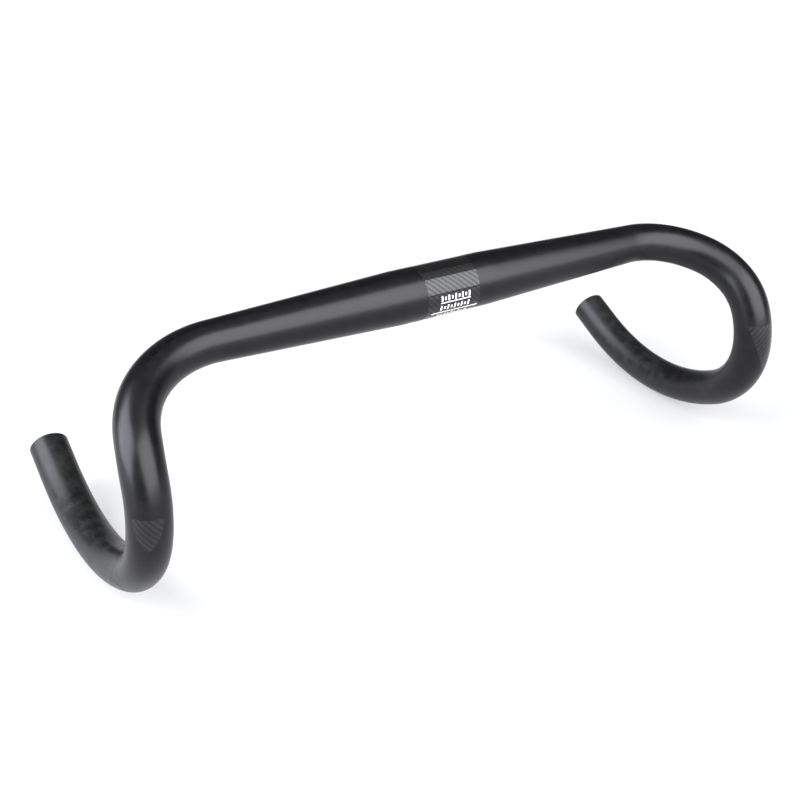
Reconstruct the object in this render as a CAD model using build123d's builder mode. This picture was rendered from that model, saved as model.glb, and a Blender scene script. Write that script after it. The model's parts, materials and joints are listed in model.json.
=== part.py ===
from build123d import *
import os
from collections import namedtuple
from math import degrees

# Compact road drop handlebar, moulded in three hollow carbon sections that are bonded
# together over internal sleeves.
#
# Frame: millimetres, +Z up, -Y forward, +X to the rider's right as the bar is seen from
# behind the rider. The origin is the middle of the stem clamp, on the bar's axis.

# ---- driving dimensions ----
CLAMP_DIAMETER = 31.8  # where the stem grips
TUBE_DIAMETER = 23.8  # tops, hooks and drops
CLAMP_LENGTH = 60.0  # parallel length round the stem clamp
TOP_HALF = 141.0  # middle of the bar to the start of the shoulder bend
END_STRAIGHT = 21.0  # straight length at each open end
WALL = 2.0
END_CHAMFER = 0.4  # outer edge of the cut ends

# Centreline bends of the right half, from the top outwards. "dip" is the direction the
# tube turns towards, measured from straight ahead down towards the floor, and is carried
# along the tube without twist.
Bend = namedtuple("Bend", "radius angle dip")
BENDS = [
    Bend(radius=60.5, angle=50.5, dip=24.0),  # shoulder
    Bend(radius=53.0, angle=29.5, dip=48.5),  # ramp
    Bend(radius=41.0, angle=32.0, dip=105.0),  # brow of the hook
    Bend(radius=52.0, angle=59.0, dip=126.5),  # front of the hook
    Bend(radius=65.0, angle=25.0, dip=126.5),  # foot of the hook
    Bend(radius=140.0, angle=53.5, dip=126.5),  # drop
]
SHOULDER, HOOK_FRONT = 0, 3

# Bonded joints between the centre section and the two drop sections
JOINT_AT = 118.0  # middle of the bar to the joint face
SLEEVE_LENGTH = 36.0
SLEEVE_WALL = 1.5
BOND_GAP = 0.15

# Extra plies inside the wall under the stem clamp
CORE_LENGTH = 56.0
CORE_WALL = 0.8

# Glossy woven band round the stem clamp, and the print in it. Both are laid a little to the
# rider's right: "across" is the place of a middle along the bar, and "height" above its axis.
BAND_LENGTH = 35.0
BAND_ACROSS = 1.6
BAND_THICKNESS = 0.3
PRINT_DEPTH = 0.1
Rule = namedtuple("Rule", "length across height")
RULES = [Rule(length=20.2, across=2.5, height=-2.1), Rule(length=31.2, across=3.1, height=-8.9)]
RULE_THICKNESS = 0.6
TICK_ROWS = [0.6, -5.6, -12.2]  # height of each row's middle above the bar's axis
TICKS_ACROSS = 2.5
TICK_COUNT = 9
TICK_PITCH = 2.3
TICK_WIDTH = 1.0
TICK_HEIGHT = 3.4
SHORT_TICK_HEIGHT = 2.0

# Inlaid woven shields on the fronts of the hooks, which are laid by hand and not quite
# alike: "turn" is degrees round the hook's front bend to the shield's middle, "direction"
# degrees from straight ahead up over the tube, and "waist" the width just past its middle.
Shield = namedtuple("Shield", "turn direction length width waist")
RIGHT_SHIELD = Shield(turn=23.4, direction=60.0, length=32.5, width=21.0, waist=12.8)
LEFT_SHIELD = Shield(turn=25.3, direction=78.0, length=19.3, width=14.7, waist=11.6)
SHIELD_DEPTH = 0.15

# Glossy dashes along the top of each shoulder: first and last distance from the start of
# the bend
DASHES = [(7.3, 20.3), (23.0, 29.5), (33.3, 39.5)]
DASH_DEPTH = 0.1
DASH_DIRECTION = 84.0  # degrees from straight ahead, up over the tube
DASH_WIDTH = 3.6

# ---- worked out from the above ----
CLAMP_RADIUS = CLAMP_DIAMETER / 2
TUBE_RADIUS = TUBE_DIAMETER / 2
BORE_RADIUS = TUBE_RADIUS - WALL
CONE_START = CLAMP_LENGTH / 2
BAND_START = BAND_ACROSS - BAND_LENGTH / 2
BAND_END = BAND_ACROSS + BAND_LENGTH / 2
CONE_SLOPE = (TUBE_RADIUS - CLAMP_RADIUS) / (TOP_HALF - CONE_START)


def outer_radius(x):
    """Outside radius of the top, x along it from the middle."""
    return CLAMP_RADIUS + CONE_SLOPE * max(0.0, abs(x) - CONE_START)


def inner_radius(x):
    return outer_radius(x) - WALL


def turned(frame, angle):
    """The frame turned about the tube by an angle, from straight ahead down."""
    along = Axis(frame.origin, frame.z_dir)
    return Plane(frame.origin, x_dir=frame.x_dir.rotate(along, angle), z_dir=frame.z_dir)


def bend_axis(frame, bend):
    """The line the tube turns about. frame's z runs along the tube and its x ahead."""
    towards = turned(frame, bend.dip)
    return Axis(towards.origin + towards.x_dir * bend.radius, towards.y_dir)


def carried(frame, bend, angle):
    """The frame carried round a bend by an angle in degrees."""
    axis = bend_axis(frame, bend)
    arm = frame.origin - axis.position
    return Plane(
        origin=axis.position + arm.rotate(axis, angle),
        x_dir=frame.x_dir.rotate(axis, angle),
        z_dir=frame.z_dir.rotate(axis, angle),
    )


# Frames at the start of each bend, and at the start of the straight end
frames = [Plane(origin=(TOP_HALF, 0, 0), x_dir=(0, -1, 0), z_dir=(1, 0, 0))]
for bend in BENDS:
    frames.append(carried(frames[-1], bend, bend.angle))
tip = frames[-1].offset(END_STRAIGHT)


def annulus(outer, inner):
    Circle(outer)
    Circle(inner, mode=Mode.SUBTRACT)


def cone_ring(start, end, outside, inside):
    """Section of a ring inside the coned wall, given its depths below the inner face."""
    Polygon(
        (start, inner_radius(start) - outside),
        (end, inner_radius(end) - outside),
        (end, inner_radius(end) - inside),
        (start, inner_radius(start) - inside),
        align=None,
    )


def mirrored(part):
    """The same piece on the rider's left."""
    with BuildPart() as other_side:
        mirror(part, about=Plane.YZ)
    return other_side.part


# ---- hook shield and shoulder dashes: solids, and the pockets they sit in ----
def shield(shape, inner, outer):
    """A shield cut from the skin of the hook's front bend between two radii."""
    start = frames[HOOK_FRONT]
    bend = BENDS[HOOK_FRONT]
    middle = turned(carried(start, bend, shape.turn), -shape.direction)
    face = Plane(origin=middle.origin, x_dir=middle.z_dir, z_dir=middle.x_dir)
    back = -shape.length / 2
    point = (shape.length / 2, 0)
    with BuildPart() as skin:
        with BuildSketch(start):
            annulus(outer, inner)
        revolve(axis=bend_axis(start, bend), revolution_arc=bend.angle)
    with BuildPart() as piece:
        with BuildSketch(face):
            with BuildLine():
                Line((back, -shape.width / 2), (back, shape.width / 2))
                ThreePointArc((back, shape.width / 2), (1, shape.waist / 2), point)
                ThreePointArc(point, (1, -shape.waist / 2), (back, -shape.width / 2))
            make_face()
        extrude(amount=CLAMP_DIAMETER)
        add(skin.part, mode=Mode.INTERSECT)
    return piece.part


def dashes(inner, outer):
    """The row of dashes, cut from the skin of the shoulder bend between two radii."""
    bend = BENDS[SHOULDER]
    axis = bend_axis(frames[SHOULDER], bend)
    with BuildPart() as piece:
        for near, far in DASHES:
            turn = degrees(near / bend.radius)
            start = carried(frames[SHOULDER], bend, turn)
            with BuildSketch(turned(start, -DASH_DIRECTION)):
                annulus(outer, inner)
                with Locations((TUBE_RADIUS, 0)):
                    Rectangle(WALL, DASH_WIDTH, mode=Mode.INTERSECT)
            revolve(axis=axis, revolution_arc=degrees(far / bend.radius) - turn)
    return piece.part


right_hook_shield = shield(RIGHT_SHIELD, TUBE_RADIUS - SHIELD_DEPTH, TUBE_RADIUS)
right_hook_shield.label = "right_hook_shield"
left_hook_shield = mirrored(shield(LEFT_SHIELD, TUBE_RADIUS - SHIELD_DEPTH, TUBE_RADIUS))
left_hook_shield.label = "left_hook_shield"

right_shoulder_dashes = dashes(TUBE_RADIUS - DASH_DEPTH, TUBE_RADIUS)
right_shoulder_dashes.label = "right_shoulder_dashes"
left_shoulder_dashes = mirrored(right_shoulder_dashes)
left_shoulder_dashes.label = "left_shoulder_dashes"

# ---- drop sections: coned joint end, six bends and the straight open end ----
with BuildPart() as drop_tube:
    with BuildSketch(Plane.XZ):
        Polygon(
            (JOINT_AT, outer_radius(JOINT_AT)),
            (TOP_HALF, TUBE_RADIUS),
            (TOP_HALF, BORE_RADIUS),
            (JOINT_AT, inner_radius(JOINT_AT)),
            align=None,
        )
    revolve(axis=Axis.X)
    for frame, bend in zip(frames, BENDS):
        with BuildSketch(frame):
            annulus(TUBE_RADIUS, BORE_RADIUS)
        revolve(axis=bend_axis(frame, bend), revolution_arc=bend.angle)
    with BuildSketch(Plane(origin=tip.origin, x_dir=tip.z_dir, z_dir=tip.y_dir)):
        Polygon(
            (-END_STRAIGHT, BORE_RADIUS),
            (0, BORE_RADIUS),
            (0, TUBE_RADIUS - END_CHAMFER),
            (-END_CHAMFER, TUBE_RADIUS),
            (-END_STRAIGHT, TUBE_RADIUS),
            align=None,
        )
    revolve(axis=Axis(tip.origin, tip.z_dir))
    add(dashes(TUBE_RADIUS - DASH_DEPTH, TUBE_RADIUS + DASH_DEPTH), mode=Mode.SUBTRACT)


def drop_section(shape):
    """The tube on the rider's right, with the pocket of a shield."""
    with BuildPart() as section:
        add(drop_tube.part)
        add(shield(shape, TUBE_RADIUS - SHIELD_DEPTH, CLAMP_RADIUS), mode=Mode.SUBTRACT)
    return section.part


right_drop_section = drop_section(RIGHT_SHIELD)
right_drop_section.label = "right_drop_section"
left_drop_section = mirrored(drop_section(LEFT_SHIELD))
left_drop_section.label = "left_drop_section"

# ---- centre section, with a shallow seat for the band ----
with BuildPart() as centre_section:
    with BuildSketch(Plane.XZ):
        Polygon(
            (-JOINT_AT, outer_radius(JOINT_AT)),
            (-CONE_START, CLAMP_RADIUS),
            (BAND_START, CLAMP_RADIUS),
            (BAND_START, CLAMP_RADIUS - BAND_THICKNESS),
            (BAND_END, CLAMP_RADIUS - BAND_THICKNESS),
            (BAND_END, CLAMP_RADIUS),
            (CONE_START, CLAMP_RADIUS),
            (JOINT_AT, outer_radius(JOINT_AT)),
            (JOINT_AT, inner_radius(JOINT_AT)),
            (CONE_START, inner_radius(0)),
            (-CONE_START, inner_radius(0)),
            (-JOINT_AT, inner_radius(JOINT_AT)),
            align=None,
        )
    revolve(axis=Axis.X)
centre_section.part.label = "centre_section"

with BuildPart() as clamp_core:
    with BuildSketch(Plane.YZ):
        annulus(inner_radius(0), inner_radius(0) - CORE_WALL)
    extrude(amount=CORE_LENGTH / 2, both=True)
clamp_core.part.label = "clamp_core"

# ---- print on the band: plain rules and rows of ruler ticks ----
with BuildPart() as print_layer:
    with BuildSketch(Plane.YZ.offset(BAND_START)):
        annulus(CLAMP_RADIUS, CLAMP_RADIUS - PRINT_DEPTH)
    extrude(amount=BAND_LENGTH)

with BuildPart() as size_rules:
    with BuildSketch(Plane.XZ):
        for rule in RULES:
            with Locations((rule.across, rule.height)):
                Rectangle(rule.length, RULE_THICKNESS)
    extrude(amount=CLAMP_DIAMETER)
    add(print_layer.part, mode=Mode.INTERSECT)
size_rules.part.label = "size_rules"

with BuildPart() as size_ticks:
    with BuildSketch(Plane.XZ):
        for height in TICK_ROWS:
            for index in range(TICK_COUNT):
                across = TICKS_ACROSS + (index - (TICK_COUNT - 1) / 2) * TICK_PITCH
                tall = TICK_HEIGHT if index % 2 == 0 else SHORT_TICK_HEIGHT
                with Locations((across, height)):
                    Rectangle(TICK_WIDTH, tall)
    extrude(amount=CLAMP_DIAMETER)
    add(print_layer.part, mode=Mode.INTERSECT)
size_ticks.part.label = "size_ticks"

with BuildPart() as clamp_band:
    with BuildSketch(Plane.YZ.offset(BAND_START)):
        annulus(CLAMP_RADIUS, CLAMP_RADIUS - BAND_THICKNESS)
    extrude(amount=BAND_LENGTH)
    add(size_rules.part, mode=Mode.SUBTRACT)
    add(size_ticks.part, mode=Mode.SUBTRACT)
clamp_band.part.label = "clamp_band"

# ---- bonded joints ----
SLEEVE_START = JOINT_AT - SLEEVE_LENGTH / 2
SLEEVE_END = JOINT_AT + SLEEVE_LENGTH / 2

with BuildPart() as right_joint_sleeve:
    with BuildSketch(Plane.XZ):
        cone_ring(SLEEVE_START, SLEEVE_END, BOND_GAP, BOND_GAP + SLEEVE_WALL)
    revolve(axis=Axis.X)
right_joint_sleeve.part.label = "right_joint_sleeve"

with BuildPart() as right_bond_film:
    with BuildSketch(Plane.XZ):
        cone_ring(SLEEVE_START, SLEEVE_END, 0, BOND_GAP)
    revolve(axis=Axis.X)
right_bond_film.part.label = "right_bond_film"

left_joint_sleeve = mirrored(right_joint_sleeve.part)
left_joint_sleeve.label = "left_joint_sleeve"
left_bond_film = mirrored(right_bond_film.part)
left_bond_film.label = "left_bond_film"

# ---- export ----
os.makedirs("parts", exist_ok=True)
for piece in (
    centre_section.part,
    right_drop_section,
    left_drop_section,
    clamp_core.part,
    clamp_band.part,
    size_rules.part,
    size_ticks.part,
    right_joint_sleeve.part,
    left_joint_sleeve,
    right_bond_film.part,
    left_bond_film,
    right_hook_shield,
    left_hook_shield,
    right_shoulder_dashes,
    left_shoulder_dashes,
):
    export_step(piece, f"parts/{piece.label}.step")
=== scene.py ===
"""Skins, weave, print and studio for a road drop handlebar, built on its packed frame."""

import json
from collections import namedtuple
from math import asin, atan2, ceil, cos, pi, radians, sin, sqrt, tau

import bmesh
import bpy
from bpy.props import FloatProperty, FloatVectorProperty, IntProperty, PointerProperty
from bpy.types import Operator, Panel, PropertyGroup
from mathutils import Matrix, Vector


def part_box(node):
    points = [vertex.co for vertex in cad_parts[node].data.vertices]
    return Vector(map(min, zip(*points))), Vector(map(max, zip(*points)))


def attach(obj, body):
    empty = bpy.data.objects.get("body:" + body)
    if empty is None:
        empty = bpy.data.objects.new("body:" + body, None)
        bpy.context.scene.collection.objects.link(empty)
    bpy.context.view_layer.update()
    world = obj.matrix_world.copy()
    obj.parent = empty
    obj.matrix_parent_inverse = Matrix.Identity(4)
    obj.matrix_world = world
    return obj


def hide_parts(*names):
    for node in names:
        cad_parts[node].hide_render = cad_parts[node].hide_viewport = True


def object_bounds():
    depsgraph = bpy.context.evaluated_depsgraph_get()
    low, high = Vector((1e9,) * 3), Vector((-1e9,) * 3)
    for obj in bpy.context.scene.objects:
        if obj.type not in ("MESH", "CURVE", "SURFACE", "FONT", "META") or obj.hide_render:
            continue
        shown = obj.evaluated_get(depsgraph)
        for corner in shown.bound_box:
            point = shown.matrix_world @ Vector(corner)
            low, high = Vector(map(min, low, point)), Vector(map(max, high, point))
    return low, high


bl_info = {
    "name": "Drop handlebar",
    "version": (1, 0, 0),
    "blender": (4, 5, 0),
    "location": "View3D > Sidebar > Handlebar",
    "description": "Builds the skins, weave, print and studio of a road drop handlebar",
    "category": "Add Mesh",
}

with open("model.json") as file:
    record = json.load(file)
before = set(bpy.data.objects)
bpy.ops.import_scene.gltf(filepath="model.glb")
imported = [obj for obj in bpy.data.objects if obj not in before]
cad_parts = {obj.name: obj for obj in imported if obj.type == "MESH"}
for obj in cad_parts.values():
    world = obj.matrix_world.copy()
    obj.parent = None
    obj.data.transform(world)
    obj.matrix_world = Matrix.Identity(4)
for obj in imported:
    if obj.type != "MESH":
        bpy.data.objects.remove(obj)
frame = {"nodes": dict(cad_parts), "record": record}
cad_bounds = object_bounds()

mounts = {mount["name"]: mount for mount in frame["record"]["mounts"]}
CLAMP_RADIUS = mounts["stem_clamp"]["dims"]["r_mm"] / 1000
CLAMP_LENGTH = mounts["stem_clamp"]["dims"]["length_mm"] / 1000
BORE_RADIUS = mounts["right_bar_end"]["dims"]["r_mm"] / 1000
JOINT_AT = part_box("centre_section")[1].x
BAND_START, BAND_END = (corner.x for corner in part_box("clamp_band"))
FLOOR_HEIGHT = cad_bounds[0].z
MERGE_DISTANCE = 1e-6
SHARP_EDGE = radians(32)  # edges that turn by more than this stay crisp

# Centreline bends of the right half, from the top outwards. "dip" is the direction the tube
# turns towards, in degrees from straight ahead down, and is carried along without twist.
Bend = namedtuple("Bend", "radius angle dip")
BENDS = [
    Bend(radius=0.0605, angle=radians(50.5), dip=radians(24.0)),  # shoulder
    Bend(radius=0.0530, angle=radians(29.5), dip=radians(48.5)),  # ramp
    Bend(radius=0.0410, angle=radians(32.0), dip=radians(105.0)),  # brow of the hook
    Bend(radius=0.0520, angle=radians(59.0), dip=radians(126.5)),  # front of the hook
    Bend(radius=0.0650, angle=radians(25.0), dip=radians(126.5)),  # foot of the hook
    Bend(radius=0.1400, angle=radians(53.5), dip=radians(126.5)),  # drop
]
SHOULDER, HOOK_FRONT = 0, 3
HOOK_FOOT_AT = 0.310  # along the centreline from the middle of the bar
HOOK_FOOT_FADE = 0.008  # the mottling of the drops fades in over twice this

# Woven shields on the fronts of the hooks, laid by hand and not quite alike: "turn" goes
# round the hook's front bend to the shield's middle, "direction" from straight ahead up over
# the tube, and "waist" is the width just past its middle.
Shield = namedtuple("Shield", "turn direction length width waist")
SHIELDS = {
    "right": Shield(radians(23.4), radians(60.0), length=0.0325, width=0.0210, waist=0.0128),
    "left": Shield(radians(25.3), radians(78.0), length=0.0193, width=0.0147, waist=0.0116),
}

# Dashes along the shoulder: first and last distance from the start of the bend
DASHES = [(0.0073, 0.0203), (0.0230, 0.0295), (0.0333, 0.0395)]

# Print on the band: each rule's length, its middle along the bar and its height above the
# bar's axis, and the height of each row of ticks
Rule = namedtuple("Rule", "length across height")
RULES = [
    Rule(length=0.0202, across=0.0025, height=-0.0021),
    Rule(length=0.0312, across=0.0031, height=-0.0089),
]
TICK_ROWS = [0.0006, -0.0056, -0.0122]
TICKS_ACROSS = 0.0025

# Smaller steps in the meshes
BAND_EDGE = 0.00006  # bevel on the rims of the band
PRINT_STEPS = 8  # facets up the height of a mark
DASH_STEPS = 8  # facets over the width of a dash
DASH_SPACING = 0.001  # distance between rings along a dash
SHIELD_SIDE_STEPS = 28  # facets along a bowed side of a shield
WAIST_AHEAD = 0.001  # from a shield's middle to its waist
LAYING_ROUNDS = 12  # rounds in which a shield settles onto the skin

# Soft lights, which all face the bar: where each hangs, its width and height, power in watts
# and colour
SoftBox = namedtuple("SoftBox", "name azimuth elevation distance size power colour")
SOFT_BOXES = [
    SoftBox("overhead_box", radians(-20), radians(84), 1.8, (2.4, 2.2), 9.0, (1, 1, 1)),
    SoftBox("key_box", radians(15), radians(33), 1.6, (2.1, 1.9), 102.0, (0.97, 0.975, 1.0)),
    SoftBox("left_box", radians(-97), radians(31), 1.6, (1.6, 1.8), 98.0, (0.90, 0.92, 1.0)),
]
SENSOR_WIDTH = 36.0
FAR_PAPER_GLOW = (0.96, 0.96, 0.96, 1.0)
PAPER_FADE = (0.15, 1.7)  # distances between which the paper's glow rises to that


# ---- sizes, colours and studio that a user may change ----
class BarSizes(PropertyGroup):
    """Sizes of the tube and its cut ends."""

    tube_radius: FloatProperty(
        name="Tube radius", description="Outside radius of the tops, hooks and drops",
        default=0.0119, min=0.01, max=0.014, subtype="DISTANCE", unit="LENGTH",
    )
    top_half: FloatProperty(
        name="Top half", description="Middle of the bar to the start of the shoulder bend",
        default=0.141, min=0.1, max=0.2, subtype="DISTANCE", unit="LENGTH",
    )
    end_straight: FloatProperty(
        name="End straight", description="Straight length at each open end",
        default=0.021, min=0.005, max=0.05, subtype="DISTANCE", unit="LENGTH",
    )
    end_chamfer: FloatProperty(
        name="End chamfer", description="Chamfer on the edges of the cut ends",
        default=0.0004, min=0.0001, max=0.001, subtype="DISTANCE", unit="LENGTH",
    )
    around: IntProperty(
        name="Facets around", description="Facets around the tube",
        default=80, min=24, max=160,
    )
    ring_spacing: FloatProperty(
        name="Ring spacing", description="Distance between rings of the mesh along the tube",
        default=0.0027, min=0.001, max=0.01, subtype="DISTANCE", unit="LENGTH",
    )


class TrimSizes(PropertyGroup):
    """Sizes of the band, print, shields and dashes."""

    band_thickness: FloatProperty(
        name="Band thickness", description="Thickness of the woven ply round the clamp",
        default=0.0003, min=0.0001, max=0.001, subtype="DISTANCE", unit="LENGTH",
    )
    proud: FloatProperty(
        name="Proud", description="How far print and inlays stand above the skin",
        default=0.00004, min=0.00001, max=0.0002, subtype="DISTANCE", unit="LENGTH",
    )
    inlay_depth: FloatProperty(
        name="Inlay depth", description="How deep print and inlays reach into the skin",
        default=0.0001, min=0.00005, max=0.0003, subtype="DISTANCE", unit="LENGTH",
    )
    rule_thickness: FloatProperty(
        name="Rule thickness", description="Thickness of the printed rules",
        default=0.0006, min=0.0002, max=0.002, subtype="DISTANCE", unit="LENGTH",
    )
    tick_count: IntProperty(
        name="Ticks in a row", description="Ticks in each printed row",
        default=9, min=3, max=15,
    )
    tick_pitch: FloatProperty(
        name="Tick pitch", description="Distance between ticks",
        default=0.0023, min=0.001, max=0.004, subtype="DISTANCE", unit="LENGTH",
    )
    tick_width: FloatProperty(
        name="Tick width", description="Width of a tick",
        default=0.001, min=0.0003, max=0.002, subtype="DISTANCE", unit="LENGTH",
    )
    tall_tick: FloatProperty(
        name="Tall tick", description="Height of every second tick",
        default=0.0034, min=0.001, max=0.005, subtype="DISTANCE", unit="LENGTH",
    )
    short_tick: FloatProperty(
        name="Short tick", description="Height of the ticks between them",
        default=0.002, min=0.0005, max=0.005, subtype="DISTANCE", unit="LENGTH",
    )
    shield_grid: FloatProperty(
        name="Shield grid", description="Spacing of the mesh over the hook shields",
        default=0.001, min=0.0005, max=0.003, subtype="DISTANCE", unit="LENGTH",
    )
    dash_width: FloatProperty(
        name="Dash width", description="Width of the shoulder dashes",
        default=0.0036, min=0.001, max=0.01, subtype="DISTANCE", unit="LENGTH",
    )
    dash_direction: FloatProperty(
        name="Dash direction", description="Direction the dashes face, up from straight ahead",
        default=radians(84.0), min=0.0, max=pi, subtype="ANGLE", unit="ROTATION",
    )


class FinishColours(PropertyGroup):
    """Colours of the finishes, and the width of a tow."""

    carbon: FloatVectorProperty(
        name="Carbon", description="Darkest colour of the matte laminate",
        default=(0.0010, 0.0009, 0.0017), min=0.0, max=1.0, subtype="COLOR",
    )
    carbon_bloom: FloatVectorProperty(
        name="Carbon bloom", description="Palest cloud in the matte laminate",
        default=(0.0085, 0.0087, 0.0082), min=0.0, max=1.0, subtype="COLOR",
    )
    # In the coated twill, tow is the paler colour painted on tows that lie on top as a painted
    # sheen, and tow_shade the darker one under them; in the bare laminate they are only random
    # fibre tone.
    tow: FloatVectorProperty(
        name="Tow", description="Carbon tow that catches the light in the weave",
        default=(0.0034, 0.0034, 0.0037), min=0.0, max=1.0, subtype="COLOR",
    )
    tow_shade: FloatVectorProperty(
        name="Tow shade", description="Carbon tow that runs across it",
        default=(0.0008, 0.0008, 0.0010), min=0.0, max=1.0, subtype="COLOR",
    )
    ink: FloatVectorProperty(
        name="Ink", description="White printing ink",
        default=(0.86, 0.86, 0.85), min=0.0, max=1.0, subtype="COLOR",
    )
    lacquer: FloatVectorProperty(
        name="Lacquer", description="Black lacquer of the shoulder dashes",
        default=(0.0008, 0.0008, 0.0010), min=0.0, max=1.0, subtype="COLOR",
    )
    epoxy: FloatVectorProperty(
        name="Epoxy", description="Cured adhesive in the joints",
        default=(0.34, 0.25, 0.11), min=0.0, max=1.0, subtype="COLOR",
    )
    paper: FloatVectorProperty(
        name="Paper", description="Pale floor of the studio",
        default=(0.235, 0.235, 0.235), min=0.0, max=1.0, subtype="COLOR",
    )
    paper_glow: FloatProperty(
        name="Paper glow", description="Light given off by the paper near the bar",
        default=0.44, min=0.0, max=1.0,
    )
    tow_width: FloatProperty(
        name="Tow width", description="Width of one tow in the weave",
        default=0.0009, min=0.0005, max=0.004, subtype="DISTANCE", unit="LENGTH",
    )


class StudioSettings(PropertyGroup):
    """Camera, floor and lights."""

    azimuth: FloatProperty(
        name="Azimuth", description="Turn of the camera about the upright axis",
        default=radians(-29.98), min=-pi, max=pi, subtype="ANGLE", unit="ROTATION",
    )
    elevation: FloatProperty(
        name="Elevation", description="Height of the camera above the level",
        default=radians(28.77), min=-pi / 2, max=pi / 2, subtype="ANGLE", unit="ROTATION",
    )
    camera_place: FloatVectorProperty(
        name="Camera place", description="Where the camera stands",
        default=(-0.3393, -0.5435, 0.2768), subtype="TRANSLATION", unit="LENGTH",
    )
    focal_length: FloatProperty(
        name="Focal length", description="Focal length in millimetres",
        default=53.29, min=10.0, max=200.0,
    )
    floor_size: FloatProperty(
        name="Floor size", description="Side of the floor",
        default=14.0, min=2.0, max=40.0, subtype="DISTANCE", unit="LENGTH",
    )
    room_light: FloatProperty(
        name="Room light", description="Strength of the even light from all round",
        default=0.12, min=0.0, max=4.0,
    )


# ---- shader nodes ----
def plug(socket, value):
    """Feeds a socket with a wire or a constant."""
    if isinstance(value, Wire):
        socket.id_data.links.new(value.socket, socket)
    else:
        socket.default_value = value


class Wire:
    """An output socket that takes part in arithmetic by adding Math nodes."""

    def __init__(self, socket):
        self.socket = socket

    def maths(self, operation, *values):
        node = self.socket.id_data.nodes.new("ShaderNodeMath")
        node.operation = operation
        for socket, value in zip(node.inputs, values):
            plug(socket, value)
        return Wire(node.outputs[0])

    def __add__(self, other):
        return self.maths("ADD", self, other)

    def __radd__(self, other):
        return self.maths("ADD", other, self)

    def __sub__(self, other):
        return self.maths("SUBTRACT", self, other)

    def __rsub__(self, other):
        return self.maths("SUBTRACT", other, self)

    def __mul__(self, other):
        return self.maths("MULTIPLY", self, other)

    def __rmul__(self, other):
        return self.maths("MULTIPLY", other, self)

    def __truediv__(self, other):
        return self.maths("DIVIDE", self, other)

    def __mod__(self, other):
        return self.maths("FLOORED_MODULO", self, other)

    def __lt__(self, other):
        return self.maths("LESS_THAN", self, other)

    def floor(self):
        return self.maths("FLOOR", self)

    def fraction(self):
        return self.maths("FRACT", self)

    def sine(self):
        return self.maths("SINE", self)


class Finish:
    """A material in the making: its main shader, and the method that adds every other node."""

    def __init__(self, name):
        self.material = bpy.data.materials.new(name)
        self.material.use_nodes = True
        self.tree = self.material.node_tree
        self.shader = self.tree.nodes["Principled BSDF"]

    def add(self, kind, settings=None, inputs=None, output=0):
        """Adds a node, makes its settings, then feeds its sockets; returns one output."""
        node = self.tree.nodes.new("ShaderNode" + kind)
        for name, value in (settings or {}).items():
            setattr(node, name, value)
        for name, value in (inputs or {}).items():
            plug(node.inputs[name], value)
        return Wire(node.outputs[output])

    def place(self):
        """Where a point is on the bar, in metres."""
        return self.add("TexCoord", output="Object")

    def unrolled(self):
        """Distance around and along the surface, in metres, of a piece that is unrolled."""
        sheet = self.add("UVMap", {"uv_map": "unrolled"})
        split = self.tree.nodes.new("ShaderNodeSeparateXYZ")
        plug(split.inputs[0], sheet)
        return Wire(split.outputs["X"]), Wire(split.outputs["Y"])

    def noise(self, where, scale, detail=3.0, roughness=0.5):
        inputs = {"Vector": where, "Scale": scale, "Detail": detail, "Roughness": roughness}
        return self.add("TexNoise", inputs=inputs)

    def blend(self, factor, first, second):
        """Colour between two colours, by a factor."""
        node = self.tree.nodes.new("ShaderNodeMix")
        node.data_type = "RGBA"
        plug(node.inputs["Factor"], factor)
        plug(node.inputs[6], first)
        plug(node.inputs[7], second)
        return Wire(node.outputs[2])

    def ramp(self, value, low, high):
        """Value brought from low..high to 0..1, with soft ends."""
        settings = {"interpolation_type": "SMOOTHSTEP"}
        return self.add("MapRange", settings, {"Value": value, "From Min": low, "From Max": high})

    def bump(self, height, distance, strength=1.0):
        inputs = {"Height": height, "Distance": distance, "Strength": strength}
        plug(self.shader.inputs["Normal"], self.add("Bump", inputs=inputs))

    def feed(self, **sockets):
        """Feeds the main shader; a word's underscore stands for a space."""
        for name, value in sockets.items():
            plug(self.shader.inputs[name.replace("_", " ")], value)


def opaque(colour):
    return (*colour, 1.0)


# ---- finishes ----
def matte_laminate(colours):
    """Unidirectional laminate under a matte varnish: clouds, faint fibres and fine grain."""
    finish = Finish("matte_laminate")
    place = finish.place()
    around, along = finish.unrolled()
    fibres = finish.add("CombineXYZ", inputs={"X": around * 900.0, "Y": along * 14.0})
    fibre = finish.noise(fibres, 1.0, detail=2.0)
    clouds = finish.noise(place, 22.0, detail=2.0)
    mottle = finish.noise(place, 150.0, detail=4.0, roughness=0.66)
    grain = finish.noise(place, 2600.0, detail=2.0)
    drop = finish.ramp(along, HOOK_FOOT_AT - HOOK_FOOT_FADE, HOOK_FOOT_AT + HOOK_FOOT_FADE)
    mottled = finish.ramp(mottle * 0.75 + clouds * 0.25, 0.40, 0.64)
    bloom = mottled * (0.20 + drop * 0.65) + drop * 0.25
    colour = finish.blend(bloom, opaque(colours.carbon), opaque(colours.carbon_bloom))
    roughness = 0.31 + bloom * 0.12 + (fibre - 0.5) * 0.06 + (grain - 0.5) * 0.08
    finish.feed(Base_Color=colour, Roughness=roughness, IOR=1.34)
    finish.bump(grain * 0.7 + mottle * 1.6 + fibre * 0.5, 0.000012)
    return finish.material


def twill(finish, colours):
    """Over-and-under of a two-by-two twill: which tow is on top, its crown and its threads."""
    around, along = finish.unrolled()
    across = around / colours.tow_width
    down = along / colours.tow_width
    over = (across.floor() - down.floor()) % 4.0 < 1.5
    across_crown = (across.fraction() * pi).sine()
    down_crown = (down.fraction() * pi).sine()
    crown = over * across_crown + (1.0 - over) * down_crown
    threads = finish.add("CombineXYZ", inputs={
        "X": around * (over * 9000.0 + 700.0),
        "Y": along * ((1.0 - over) * 9000.0 + 700.0),
    })
    thread = finish.noise(threads, 1.0, detail=1.0)
    return over, crown, thread


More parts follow.
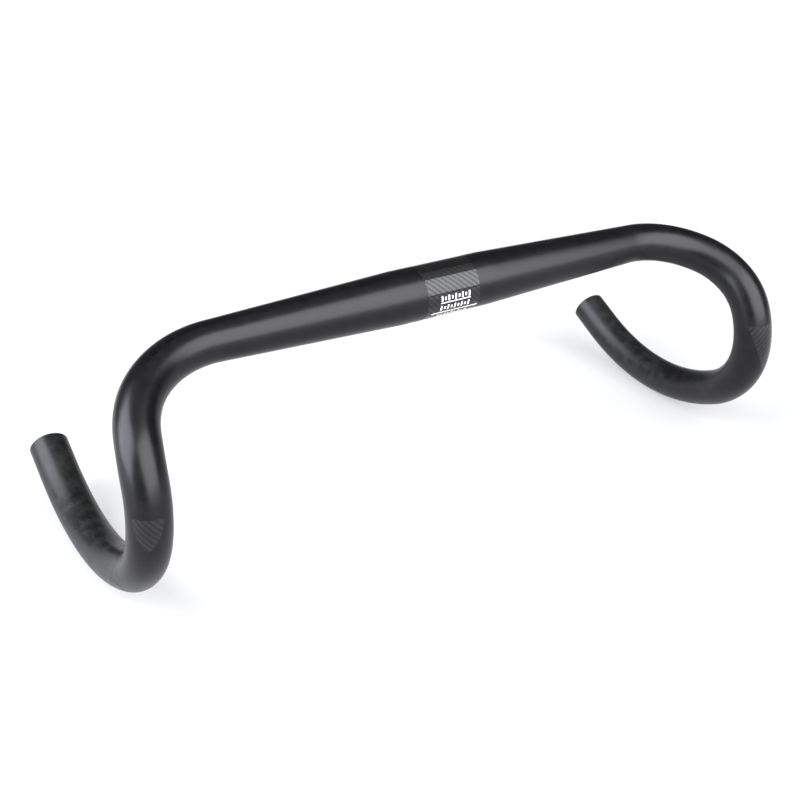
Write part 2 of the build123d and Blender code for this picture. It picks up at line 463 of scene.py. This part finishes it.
def coated_twill(colours):
    """Twill weave under a clear gloss coat, with a painted sheen on the tows that lie on top."""
    finish = Finish("coated_twill")
    over, crown, thread = twill(finish, colours)
    wander = finish.noise(finish.place(), 160.0, detail=2.0)
    # Painted sheen: tows that lie on top are painted paler than those under them, in place of the
    # light their fibres catch; the over-and-under weave itself and the random wander are real tone.
    sheen = over * 0.7 + thread * 0.2 + wander * 0.1
    colour = finish.blend(sheen, opaque(colours.tow_shade), opaque(colours.tow))
    finish.feed(
        Base_Color=colour,
        Roughness=0.50 - over * 0.22 + (thread - 0.5) * 0.1,
        Coat_Weight=0.35 + over * 0.28 + wander * 0.10,
        Coat_Roughness=0.05,
        IOR=1.25,
    )
    finish.bump(crown * 0.8 + thread * 0.2, 0.00006)
    return finish.material


def black_lacquer(colours):
    """Gloss black lacquer with faint orange peel."""
    finish = Finish("black_lacquer")
    place = finish.place()
    peel = finish.noise(place, 900.0, detail=2.0)
    wear = finish.noise(place, 260.0, detail=4.0)
    rubbed = finish.ramp(wear, 0.55, 0.75)
    colour = finish.blend(rubbed, opaque(colours.lacquer), opaque(colours.carbon_bloom))
    finish.feed(Base_Color=colour, Roughness=0.14 + rubbed * 0.14 + peel * 0.05, IOR=1.52)
    finish.bump(peel, 0.000008)
    return finish.material


def white_ink(colours):
    """Pad-printed white ink: slightly uneven, thinner in pinholes."""
    finish = Finish("white_ink")
    place = finish.place()
    cover = finish.noise(place, 1500.0, detail=3.0)
    thin = finish.ramp(cover, 0.60, 0.82)
    colour = finish.blend(thin * 0.5, opaque(colours.ink), (0.45, 0.45, 0.46, 1.0))
    finish.feed(Base_Color=colour, Roughness=0.38 + cover * 0.16, IOR=1.48)
    finish.bump(cover, 0.00001)
    return finish.material


def bare_laminate(colours):
    """Unvarnished laminate inside the bar: fibres along it and a peel-ply grain."""
    finish = Finish("bare_laminate")
    place = finish.place()
    stretched = finish.add("VectorMath", {"operation": "MULTIPLY"}, {0: place, 1: (30, 1500, 1500)})
    fibre = finish.noise(stretched, 1.0, detail=2.0)
    peel_ply = finish.noise(place, 1900.0, detail=1.0)
    colour = finish.blend(fibre, opaque(colours.tow_shade), opaque(colours.tow))
    finish.feed(Base_Color=colour, Roughness=0.55 + peel_ply * 0.2, Metallic=0.2)
    finish.bump(fibre * 0.6 + peel_ply * 0.4, 0.00003)
    return finish.material


def cured_epoxy(colours):
    """Amber adhesive with trapped bubbles."""
    finish = Finish("cured_epoxy")
    place = finish.place()
    flow = finish.noise(place, 120.0, detail=3.0)
    bubbles = finish.add("TexVoronoi", inputs={"Vector": place, "Scale": 700.0})
    bubble = 1.0 - finish.ramp(bubbles, 0.08, 0.25)
    darker = tuple(0.5 * part for part in colours.epoxy)
    colour = finish.blend(flow, opaque(darker), opaque(colours.epoxy))
    finish.feed(Base_Color=colour, Roughness=0.22 + flow * 0.15 + bubble * 0.2, IOR=1.55)
    finish.bump(flow - bubble * 0.5, 0.00004)
    return finish.material


def studio_paper(colours):
    """Matt paper with a faint tooth, glowing more with distance so the ground stays white."""
    finish = Finish("studio_paper")
    place = finish.place()
    tooth = finish.noise(place, 800.0, detail=3.0)
    tone = finish.noise(place, 1.5, detail=1.0)
    distance = finish.add("VectorMath", {"operation": "LENGTH"}, {0: place}, output="Value")
    far = finish.ramp(distance, *PAPER_FADE)
    near_glow = opaque([colours.paper_glow] * 3)
    shaded = tuple(0.97 * part for part in colours.paper)
    colour = finish.blend(tone, opaque(shaded), opaque(colours.paper))
    finish.feed(
        Base_Color=colour,
        Roughness=0.75 + tooth * 0.1,
        Emission_Color=finish.blend(far, near_glow, FAR_PAPER_GLOW),
        Emission_Strength=1.0,
    )
    finish.bump(tooth, 0.00002)
    return finish.material


FINISH_MAKERS = {
    "matte_laminate": matte_laminate,
    "coated_twill": coated_twill,
    "black_lacquer": black_lacquer,
    "white_ink": white_ink,
    "bare_laminate": bare_laminate,
    "cured_epoxy": cured_epoxy,
    "studio_paper": studio_paper,
}


def finish_named(name):
    """The material of that name, made the first time it is asked for.

    A material the frame brings under the same name is used as it is: bare_laminate on the
    clamp core and joint sleeves.
    """
    if name not in bpy.data.materials:
        FINISH_MAKERS[name](bpy.context.scene.bar_colours)
    return bpy.data.materials[name]


# ---- centreline ----
def frame_on_top(x):
    """Frame on the straight top: x ahead, y down, z along the tube to the right."""
    axes = Matrix(((0, 0, 1), (-1, 0, 0), (0, -1, 0))).to_4x4()
    return Matrix.Translation((x, 0, 0)) @ axes


def turned(place, angle):
    """A frame turned about the tube, from straight ahead down."""
    return place @ Matrix.Rotation(angle, 4, "Z")


def carried(place, bend, angle):
    """A frame carried round a bend by an angle."""
    lean = Matrix.Rotation(bend.dip, 4, "Z")
    arm = Matrix.Translation((bend.radius, 0, 0))
    turn = arm @ Matrix.Rotation(angle, 4, "Y") @ arm.inverted()
    return place @ lean @ turn @ lean.inverted()


def bend_start(number):
    """Frame where a bend of the right half starts."""
    place = frame_on_top(bpy.context.scene.bar_sizes.top_half)
    for bend in BENDS[:number]:
        place = carried(place, bend, bend.angle)
    return place


def outer_radius(x):
    """Outside radius of the top, x along it from the middle."""
    sizes = bpy.context.scene.bar_sizes
    start = CLAMP_LENGTH / 2
    share = max(0.0, abs(x) - start) / (sizes.top_half - start)
    return CLAMP_RADIUS + share * (sizes.tube_radius - CLAMP_RADIUS)


def wall():
    return bpy.context.scene.bar_sizes.tube_radius - BORE_RADIUS


# ---- meshes ----
class Wall:
    """A tube's wall, grown ring by ring along the centreline and back through the bore."""

    def __init__(self, x):
        self.mesh = bmesh.new()
        self.around = self.mesh.verts.layers.float.new("around")
        self.along = self.mesh.verts.layers.float.new("along")
        self.place = frame_on_top(x)
        self.travelled = x
        self.radius = outer_radius(x)
        segments = bpy.context.scene.bar_sizes.around
        ring = bmesh.ops.create_circle(self.mesh, segments=segments, radius=self.radius,
                                       matrix=self.place)
        self.edges = list(self.mesh.edges)
        self.first_ring = list(self.mesh.edges)
        for vert in ring["verts"]:
            local = self.place.inverted() @ vert.co
            vert[self.around] = atan2(local.y, local.x) / tau % 1.0
            vert[self.along] = x

    def edges_of(self, geometry):
        return [item for item in geometry if isinstance(item, bmesh.types.BMEdge)]

    def ring_verts(self):
        return list({vert for edge in self.edges for vert in edge.verts})

    def straight(self, length, radius):
        """Carries the ring straight on; a negative length goes back."""
        spacing = bpy.context.scene.bar_sizes.ring_spacing
        steps = max(1, ceil(abs(length) / spacing))
        scale = (radius / self.radius) ** (1 / steps)
        for _ in range(steps):
            grown = bmesh.ops.extrude_edge_only(self.mesh, edges=self.edges)
            self.edges = self.edges_of(grown["geom"])
            verts = self.ring_verts()
            self.place = self.place @ Matrix.Translation((0, 0, length / steps))
            ahead = self.place.col[2].xyz * (length / steps)
            bmesh.ops.translate(self.mesh, verts=verts, vec=ahead)
            bmesh.ops.scale(self.mesh, verts=verts, vec=(scale, scale, 1.0),
                            space=self.place.inverted())
            self.radius *= scale
            self.travelled += length / steps
            self.mark(verts)

    def bend(self, bend, way=1):
        """Spins the ring round a bend, or back round it when way is -1."""
        spacing = bpy.context.scene.bar_sizes.ring_spacing
        steps = ceil(bend.radius * bend.angle / spacing)
        leaning = turned(self.place, bend.dip)
        centre = leaning @ Vector((bend.radius, 0, 0))
        axis = leaning.col[1].xyz
        step_angle = way * bend.angle / steps
        for _ in range(steps):
            verts = self.ring_verts()
            spun = bmesh.ops.spin(self.mesh, geom=verts + self.edges, cent=centre, axis=axis,
                                  angle=step_angle, steps=1)
            self.edges = self.edges_of(spun["geom_last"])
            self.travelled += step_angle * bend.radius
            self.mark(self.ring_verts())
        self.place = carried(self.place, bend, way * bend.angle)

    def mark(self, verts):
        for vert in verts:
            vert[self.along] = self.travelled

    def close(self):
        """Joins the last ring to the first."""
        bmesh.ops.bridge_loops(self.mesh, edges=self.edges + self.first_ring)
        return self.mesh


def unroll(mesh, around, along, girth):
    """Lays a piece flat in its UV map: distance around, then distance along, in metres."""
    sheet = mesh.loops.layers.uv.new("unrolled")
    for face in mesh.faces:
        turns = [loop.vert[around] for loop in face.loops]
        crosses_seam = max(turns) - min(turns) > 0.5
        for loop, turn in zip(face.loops, turns):
            if crosses_seam and turn < 0.5:
                turn += 1.0
            loop[sheet].uv = (turn * girth, loop.vert[along])


def unroll_about_x(mesh, girth):
    """Unrolls a piece that is round about the bar's straight axis."""
    around = mesh.verts.layers.float.new("around")
    along = mesh.verts.layers.float.new("along")
    for vert in mesh.verts:
        vert[around] = atan2(vert.co.z, vert.co.y) / tau % 1.0
        vert[along] = vert.co.x
    unroll(mesh, around, along, girth)


def mirrored(mesh):
    """A copy of a mesh on the rider's left."""
    other = mesh.copy()
    bmesh.ops.scale(other, verts=other.verts, vec=(-1, 1, 1))
    bmesh.ops.reverse_faces(other, faces=other.faces)
    return other


def finish_piece(mesh, name, finish, nodes):
    """Makes a mesh a piece that rides on the bar and stands for its CAD nodes."""
    bmesh.ops.remove_doubles(mesh, verts=mesh.verts, dist=MERGE_DISTANCE)
    bmesh.ops.recalc_face_normals(mesh, faces=mesh.faces)
    for face in mesh.faces:
        face.smooth = True
    open_edges = [edge for edge in mesh.edges if len(edge.link_faces) != 2]
    if open_edges:
        raise RuntimeError(f"{name} has {len(open_edges)} edges that aren't closed")
    data = bpy.data.meshes.new(name)
    mesh.to_mesh(data)
    mesh.free()
    data.set_sharp_from_angle(angle=SHARP_EDGE)
    data.materials.append(finish_named(finish))
    piece = bpy.data.objects.new(name, data)
    bpy.context.scene.collection.objects.link(piece)
    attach(piece, "root")
    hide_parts(*nodes)
    return piece


def turned_ring(profile):
    """Closed ring about the bar's straight axis, from (along, radius) corners in order."""
    mesh = bmesh.new()
    corners = [mesh.verts.new((along, 0, radius)) for along, radius in profile]
    for first, second in zip(corners, corners[1:] + corners[:1]):
        mesh.edges.new((first, second))
    bmesh.ops.spin(mesh, geom=list(mesh.verts) + list(mesh.edges), cent=(0, 0, 0),
                   axis=(1, 0, 0), angle=tau, use_merge=True,
                   steps=bpy.context.scene.bar_sizes.around)
    bmesh.ops.remove_doubles(mesh, verts=mesh.verts, dist=MERGE_DISTANCE)
    return mesh


def spaced(start, end):
    """Distances from start to just short of end, one ring spacing or less apart."""
    steps = max(1, ceil(abs(end - start) / bpy.context.scene.bar_sizes.ring_spacing))
    return [start + (end - start) * step / steps for step in range(steps)]


# ---- operators ----
class HANDLEBAR_OT_top_tube(Operator):
    """Build the hollow, coned top tube with its seat for the band"""

    bl_idname = "handlebar.top_tube"
    bl_label = "Top tube"

    def execute(self, context):
        seat = CLAMP_RADIUS - context.scene.trim_sizes.band_thickness
        cone = CLAMP_LENGTH / 2
        outside = [(x, outer_radius(x)) for x in spaced(-JOINT_AT, -cone)]
        outside += [(x, CLAMP_RADIUS) for x in spaced(-cone, BAND_START)]
        outside += [(BAND_START, CLAMP_RADIUS)]
        outside += [(x, seat) for x in spaced(BAND_START, BAND_END)]
        outside += [(BAND_END, seat)]
        outside += [(x, CLAMP_RADIUS) for x in spaced(BAND_END, cone)]
        outside += [(x, outer_radius(x)) for x in spaced(cone, JOINT_AT)]
        outside += [(JOINT_AT, outer_radius(JOINT_AT))]
        inside = [(x, outer_radius(x) - wall()) for x in spaced(JOINT_AT, -JOINT_AT)]
        inside += [(-JOINT_AT, outer_radius(JOINT_AT) - wall())]
        mesh = turned_ring(outside + inside)
        unroll_about_x(mesh, tau * context.scene.bar_sizes.tube_radius)
        finish_piece(mesh, "top_tube", "matte_laminate", ["centre_section"])
        return {"FINISHED"}


class HANDLEBAR_OT_drops(Operator):
    """Build both drops: shoulder, ramp, hook and drop, hollow to their cut ends"""

    bl_idname = "handlebar.drops"
    bl_label = "Drops"

    def execute(self, context):
        sizes = context.scene.bar_sizes
        chamfer = sizes.end_chamfer
        skin = Wall(JOINT_AT)
        skin.straight(sizes.top_half - JOINT_AT, sizes.tube_radius)
        for bend in BENDS:
            skin.bend(bend)
        skin.straight(sizes.end_straight - chamfer, sizes.tube_radius)
        skin.straight(chamfer, sizes.tube_radius - chamfer)
        skin.straight(0.0, BORE_RADIUS + chamfer / 2)
        skin.straight(-chamfer / 2, BORE_RADIUS)
        skin.straight(chamfer / 2 - sizes.end_straight, BORE_RADIUS)
        for bend in reversed(BENDS):
            skin.bend(bend, way=-1)
        skin.straight(JOINT_AT - sizes.top_half, outer_radius(JOINT_AT) - wall())
        right = skin.close()
        unroll(right, skin.around, skin.along, tau * sizes.tube_radius)
        left = mirrored(right)
        for side, mesh in (("right", right), ("left", left)):
            finish_piece(mesh, f"{side}_drop", "matte_laminate",
                         [f"{side}_drop_section"])
        return {"FINISHED"}


class HANDLEBAR_OT_clamp_band(Operator):
    """Build the glossy woven band round the stem clamp"""

    bl_idname = "handlebar.clamp_band"
    bl_label = "Clamp band"

    def execute(self, context):
        seat = CLAMP_RADIUS - context.scene.trim_sizes.band_thickness
        profile = [(BAND_START, seat), (BAND_START, CLAMP_RADIUS - BAND_EDGE)]
        top = spaced(BAND_START + BAND_EDGE, BAND_END - BAND_EDGE)
        profile += [(x, CLAMP_RADIUS) for x in top]
        profile += [(BAND_END - BAND_EDGE, CLAMP_RADIUS)]
        profile += [(BAND_END, CLAMP_RADIUS - BAND_EDGE)]
        profile += [(x, seat) for x in spaced(BAND_END, BAND_START)]
        mesh = turned_ring(profile)
        unroll_about_x(mesh, tau * CLAMP_RADIUS)
        finish_piece(mesh, "woven_band", "coated_twill", ["clamp_band"])
        return {"FINISHED"}


def printed_mark(mesh, trim, middle, length, low, high):
    """A film on the band's front, between two heights above the bar's axis."""
    outside = CLAMP_RADIUS + trim.proud
    inside = CLAMP_RADIUS - trim.inlay_depth
    start = Matrix.Rotation(-asin(low / CLAMP_RADIUS), 4, "X")
    corners = [
        mesh.verts.new(start @ Vector((middle + side * length / 2, -radius, 0)))
        for side, radius in ((-1, inside), (1, inside), (1, outside), (-1, outside))
    ]
    cap = mesh.faces.new(corners)
    lift = asin(high / CLAMP_RADIUS) - asin(low / CLAMP_RADIUS)
    bmesh.ops.spin(mesh, geom=corners + list(cap.edges) + [cap], cent=(0, 0, 0),
                   axis=(1, 0, 0), angle=-lift, steps=PRINT_STEPS)


class HANDLEBAR_OT_print(Operator):
    """Build the printed rules and ruler ticks on the band"""

    bl_idname = "handlebar.print"
    bl_label = "Print"

    def execute(self, context):
        trim = context.scene.trim_sizes
        rules = bmesh.new()
        for rule in RULES:
            low = rule.height - trim.rule_thickness / 2
            high = rule.height + trim.rule_thickness / 2
            printed_mark(rules, trim, rule.across, rule.length, low, high)
        finish_piece(rules, "printed_rules", "white_ink", ["size_rules"])
        ticks = bmesh.new()
        for height in TICK_ROWS:
            for number in range(trim.tick_count):
                middle = TICKS_ACROSS + (number - (trim.tick_count - 1) / 2) * trim.tick_pitch
                tall = trim.short_tick if number % 2 else trim.tall_tick
                printed_mark(ticks, trim, middle, trim.tick_width,
                             height - tall / 2, height + tall / 2)
        finish_piece(ticks, "printed_ticks", "white_ink", ["size_ticks"])
        return {"FINISHED"}


def skin_height(bend, lean, radius, across, forward):
    """Height over the centreline at which a line out of a bend meets a tube's skin."""
    centre = Vector((cos(lean), sin(lean), 0)) * bend.radius
    axis = Vector((-sin(lean), cos(lean), 0))
    height = sqrt(radius**2 - across**2)
    for _ in range(LAYING_ROUNDS):
        arm = Vector((height, across, forward)) - centre
        sideways = arm.dot(axis)
        outwards = (arm - axis * sideways).length - bend.radius
        height += radius - sqrt(outwards**2 + sideways**2)
    return height


class HANDLEBAR_OT_hook_shields(Operator):
    """Build the woven shield on the front of each hook"""

    bl_idname = "handlebar.hook_shields"
    bl_label = "Hook shields"

    def outline(self, shape):
        """Flat shield: a straight edge, and two bowed sides that meet in a point."""
        mesh = bmesh.new()
        corner = Vector((-shape.length / 2, shape.width / 2, 0))
        waist = Vector((WAIST_AHEAD, shape.waist / 2, 0)) - corner
        point = Vector((shape.length / 2, 0, 0)) - corner
        normal = waist.cross(point)
        reach = waist.length_squared * point - point.length_squared * waist
        centre = corner + reach.cross(normal) / (2 * normal.length_squared)
        sweep = (corner - centre).angle(corner + point - centre)
        start = mesh.verts.new(corner)
        bmesh.ops.spin(mesh, geom=[start], cent=centre, axis=(0, 0, -1), angle=sweep,
                       steps=SHIELD_SIDE_STEPS)
        bmesh.ops.mirror(mesh, geom=list(mesh.verts) + list(mesh.edges), axis="Y",
                         merge_dist=MERGE_DISTANCE)
        bmesh.ops.remove_doubles(mesh, verts=mesh.verts, dist=MERGE_DISTANCE)
        mesh.edges.new([vert for vert in mesh.verts if len(vert.link_edges) == 1])
        bmesh.ops.contextual_create(mesh, geom=list(mesh.edges))
        return mesh

    def gridded(self, mesh, shape, spacing):
        """Cuts the flat shield into small squares, which can then bend over the tube."""
        for axis, half in ((0, shape.length / 2), (1, shape.width / 2)):
            across = Vector((0, 0, 0))
            across[axis] = 1.0
            cuts = ceil(half / spacing)
            for number in range(-cuts, cuts + 1):
                geometry = list(mesh.verts) + list(mesh.edges) + list(mesh.faces)
                bmesh.ops.bisect_plane(mesh, geom=geometry, dist=MERGE_DISTANCE,
                                       plane_co=across * number * spacing, plane_no=across)

    def laid_on(self, mesh, shape, radius):
        """Drops the flat shield onto the skin of the hook at a radius."""
        bend = BENDS[HOOK_FRONT]
        face = carried(bend_start(HOOK_FRONT), bend, shape.turn)
        face = turned(face, -shape.direction)
        for vert in mesh.verts:
            forward, across = vert.co.xy
            height = skin_height(bend, bend.dip + shape.direction, radius, across, forward)
            vert.co = face @ Vector((height, across, forward))

    def execute(self, context):
        radius = context.scene.bar_sizes.tube_radius
        trim = context.scene.trim_sizes
        for side, shape in SHIELDS.items():
            top = self.outline(shape)
            self.gridded(top, shape, trim.shield_grid)
            sheet = top.loops.layers.uv.new("unrolled")
            for patch in top.faces:
                for loop in patch.loops:
                    forward, across = loop.vert.co.xy
                    loop[sheet].uv = (asin(across / radius) * radius, forward)
            under = top.copy()
            self.laid_on(top, shape, radius + trim.proud)
            self.laid_on(under, shape, radius - trim.inlay_depth)
            lower = bpy.data.meshes.new("shield_underside")
            under.to_mesh(lower)
            under.free()
            top.from_mesh(lower)
            bpy.data.meshes.remove(lower)
            rims = [edge for edge in top.edges if len(edge.link_faces) == 1]
            bmesh.ops.bridge_loops(top, edges=rims)
            shield = top if side == "right" else mirrored(top)
            finish_piece(shield, f"{side}_shield", "coated_twill",
                         [f"{side}_hook_shield"])
        return {"FINISHED"}


class HANDLEBAR_OT_shoulder_dashes(Operator):
    """Build the glossy dashes along the top of each shoulder"""

    bl_idname = "handlebar.shoulder_dashes"
    bl_label = "Shoulder dashes"

    def execute(self, context):
        sizes = context.scene.bar_sizes
        trim = context.scene.trim_sizes
        bend = BENDS[SHOULDER]
        leaning = turned(bend_start(SHOULDER), bend.dip)
        centre = leaning @ Vector((bend.radius, 0, 0))
        axis = leaning.col[1].xyz
        half_width = asin(trim.dash_width / 2 / sizes.tube_radius)
        outside = sizes.tube_radius + trim.proud
        inside = sizes.tube_radius - trim.inlay_depth
        right = bmesh.new()
        for near, far in DASHES:
            start = carried(bend_start(SHOULDER), bend, near / bend.radius)
            start = turned(start, -trim.dash_direction - half_width)
            corners = [right.verts.new(start @ Vector((inside, 0, 0)))]
            corners += [right.verts.new(start @ Vector((outside, 0, 0)))]
            edge = right.edges.new(corners)
            bmesh.ops.spin(right, geom=corners + [edge], cent=start.translation,
                           axis=start.col[2].xyz, angle=2 * half_width, steps=DASH_STEPS)
            strip = set(corners[0].link_faces)
            reached = list(strip)
            while reached:
                for side in reached.pop().edges:
                    for neighbour in side.link_faces:
                        if neighbour not in strip:
                            strip.add(neighbour)
                            reached.append(neighbour)
            edges = {item for cell in strip for item in cell.edges}
            verts = {item for cell in strip for item in cell.verts}
            turn = (far - near) / bend.radius
            bmesh.ops.spin(right, geom=[*verts, *edges, *strip], cent=centre, axis=axis,
                           angle=turn, steps=ceil((far - near) / DASH_SPACING))
        left = mirrored(right)
        for side, mesh in (("right", right), ("left", left)):
            finish_piece(mesh, f"{side}_dashes", "black_lacquer",
                         [f"{side}_shoulder_dashes"])
        return {"FINISHED"}


class HANDLEBAR_OT_inner_pieces(Operator):
    """Give the clamp core, joint sleeves and bond films their materials"""

    bl_idname = "handlebar.inner_pieces"
    bl_label = "Inner pieces"

    def execute(self, context):
        finishes = {"clamp_core": "bare_laminate"}
        for side in ("right", "left"):
            finishes[f"{side}_joint_sleeve"] = "bare_laminate"
            finishes[f"{side}_bond_film"] = "cured_epoxy"
        for node, finish in finishes.items():
            for slot in frame["nodes"][node].material_slots:
                slot.material = finish_named(finish)
        return {"FINISHED"}


class HANDLEBAR_OT_studio(Operator):
    """Lay the pale floor and set up the soft lights and the camera"""

    bl_idname = "handlebar.studio"
    bl_label = "Studio"

    def hang(self, box):
        """A rectangular light that faces the bar."""
        data = bpy.data.lights.new(box.name, "AREA")
        data.shape = "RECTANGLE"
        data.size, data.size_y = box.size
        data.energy = box.power
        data.color = box.colour
        lamp = bpy.data.objects.new(box.name, data)
        back = view_back(box.azimuth, box.elevation)
        lamp.location = back * box.distance
        lamp.rotation_euler = back.to_track_quat("Z", "Y").to_euler()
        bpy.context.scene.collection.objects.link(lamp)

    def execute(self, context):
        scene = context.scene
        studio = scene.bar_studio
        mesh = bmesh.new()
        half = studio.floor_size / 2
        bmesh.ops.create_grid(mesh, x_segments=8, y_segments=8, size=half,
                              matrix=Matrix.Translation((0, 0, FLOOR_HEIGHT)))
        data = bpy.data.meshes.new("floor")
        mesh.to_mesh(data)
        mesh.free()
        data.materials.append(finish_named("studio_paper"))
        floor = bpy.data.objects.new("floor", data)
        scene.collection.objects.link(floor)

        world = bpy.data.worlds.new("studio_room")
        world.use_nodes = True
        room = world.node_tree.nodes["Background"]
        room.inputs["Color"].default_value = (1.0, 1.0, 1.0, 1.0)
        room.inputs["Strength"].default_value = studio.room_light
        scene.world = world

        for box in SOFT_BOXES:
            self.hang(box)

        lens = bpy.data.cameras.new("camera")
        lens.lens = studio.focal_length
        lens.sensor_width = SENSOR_WIDTH
        camera = bpy.data.objects.new("camera", lens)
        camera.location = studio.camera_place
        back = view_back(studio.azimuth, studio.elevation)
        camera.rotation_euler = back.to_track_quat("Z", "Y").to_euler()
        scene.collection.objects.link(camera)
        scene.camera = camera
        scene.view_settings.view_transform = "Standard"
        return {"FINISHED"}


def view_back(azimuth, elevation):
    """Direction from the bar to a viewer; azimuth 0 looks along +Y."""
    level = cos(elevation)
    return Vector((sin(azimuth) * level, -cos(azimuth) * level, sin(elevation)))


PIECE_OPERATORS = [
    HANDLEBAR_OT_top_tube,
    HANDLEBAR_OT_drops,
    HANDLEBAR_OT_clamp_band,
    HANDLEBAR_OT_print,
    HANDLEBAR_OT_hook_shields,
    HANDLEBAR_OT_shoulder_dashes,
    HANDLEBAR_OT_inner_pieces,
    HANDLEBAR_OT_studio,
]


class HANDLEBAR_PT_build(Panel):
    """Lists what can be built, and the settings it is built from."""

    bl_label = "Drop handlebar"
    bl_space_type = "VIEW_3D"
    bl_region_type = "UI"
    bl_category = "Handlebar"

    def draw(self, context):
        build = self.layout.column(align=True)
        for operator in PIECE_OPERATORS:
            build.operator(operator.bl_idname)
        for name, group in SETTINGS.items():
            box = self.layout.box()
            box.label(text=group.__doc__)
            settings = getattr(context.scene, name)
            for setting in group.__annotations__:
                box.prop(settings, setting)


SETTINGS = {
    "bar_sizes": BarSizes,
    "trim_sizes": TrimSizes,
    "bar_colours": FinishColours,
    "bar_studio": StudioSettings,
}


def register():
    for group in SETTINGS.values():
        bpy.utils.register_class(group)
    for operator in PIECE_OPERATORS:
        bpy.utils.register_class(operator)
    bpy.utils.register_class(HANDLEBAR_PT_build)
    for name, group in SETTINGS.items():
        setattr(bpy.types.Scene, name, PointerProperty(type=group))


def unregister():
    for name in SETTINGS:
        delattr(bpy.types.Scene, name)
    bpy.utils.unregister_class(HANDLEBAR_PT_build)
    for operator in reversed(PIECE_OPERATORS):
        bpy.utils.unregister_class(operator)
    for group in SETTINGS.values():
        bpy.utils.unregister_class(group)


def main():
    register()
    bpy.ops.handlebar.top_tube()
    bpy.ops.handlebar.drops()
    bpy.ops.handlebar.clamp_band()
    bpy.ops.handlebar.print()
    bpy.ops.handlebar.hook_shields()
    bpy.ops.handlebar.shoulder_dashes()
    bpy.ops.handlebar.inner_pieces()
    bpy.ops.handlebar.studio()


if __name__ == "__main__":
    main()
